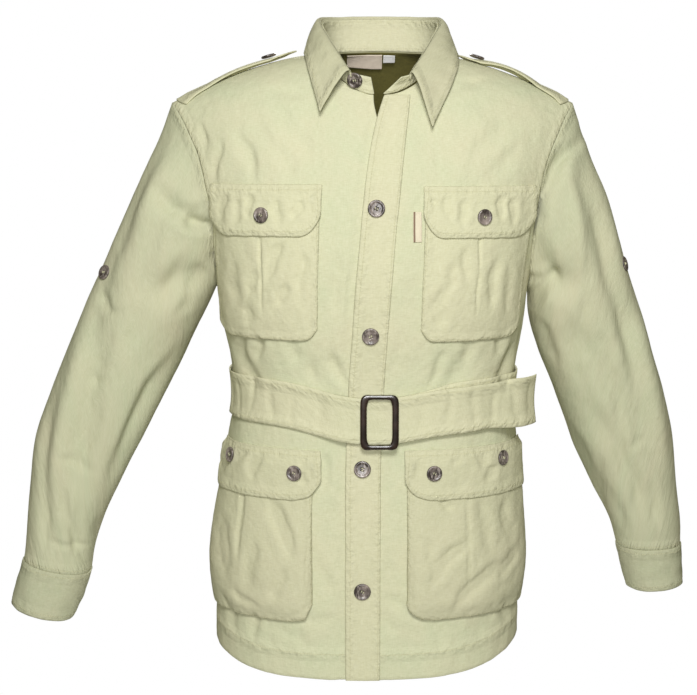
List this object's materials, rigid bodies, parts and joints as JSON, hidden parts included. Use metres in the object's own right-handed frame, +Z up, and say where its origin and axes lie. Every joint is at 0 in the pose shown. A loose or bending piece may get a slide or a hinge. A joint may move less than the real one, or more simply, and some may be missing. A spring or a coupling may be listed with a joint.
{
  "type": "safari jacket",
  "caption": "Long-sleeved belted safari jacket in pale khaki cotton, buttoned up and filled out, with shirt collar, shoulder straps, button-down flap pockets and a cloth belt with a plain buckle.",
  "frame": {"origin": "middle of the neck opening between the shoulder seams, level with the tops of the shoulders, where the jacket hangs from a wearer's or a hanger's shoulders", "axes": "+X to the wearer's left, -Y out of the front, +Y out of the back, +Z up"},
  "size_m": [0.8394, 0.2627, 0.7755],
  "materials": {
    "cloth": "matte woven cotton, pale khaki",
    "belt": "matte woven cotton, pale khaki",
    "horn": "satin, mottled horn look",
    "buckle": "glossy dark brown",
    "label": "smooth woven label, blank",
    "size_label": "smooth woven label, blank"
  },
  "bodies": {
    "root": {"front_right": "cloth", "front_left": "cloth", "back": "cloth", "sleeve_right": "cloth", "sleeve_left": "cloth", "cuff_right": "cloth", "cuff_left": "cloth", "placket": "cloth", "collar_stand": "cloth", "collar_leaf": "cloth", "stand_button": "horn", "chest_pocket_right": "cloth", "chest_pocket_left": "cloth", "chest_flap_right": "cloth", "chest_flap_left": "cloth", "chest_button_right": "horn", "chest_button_left": "horn", "lower_pocket_right": "cloth", "lower_pocket_left": "cloth", "lower_flap_right": "cloth", "lower_flap_left": "cloth", "lower_button_right_1": "horn", "lower_button_right_2": "horn", "lower_button_left_1": "horn", "lower_button_left_2": "horn", "front_button_1": "horn", "front_button_2": "horn", "front_button_3": "horn", "front_button_4": "horn", "belt": "belt", "buckle": "buckle", "belt_loop_right": "cloth", "belt_loop_left": "cloth", "epaulette_right": "cloth", "epaulette_left": "cloth", "epaulette_button_right": "horn", "epaulette_button_left": "horn", "neck_label": "label", "size_label": "size_label", "pocket_tab_label": "label", "sleeve_button_right": "horn", "sleeve_button_left": "horn", "cuff_button_right": "horn", "cuff_button_left": "horn"}
  },
  "joints": []
}
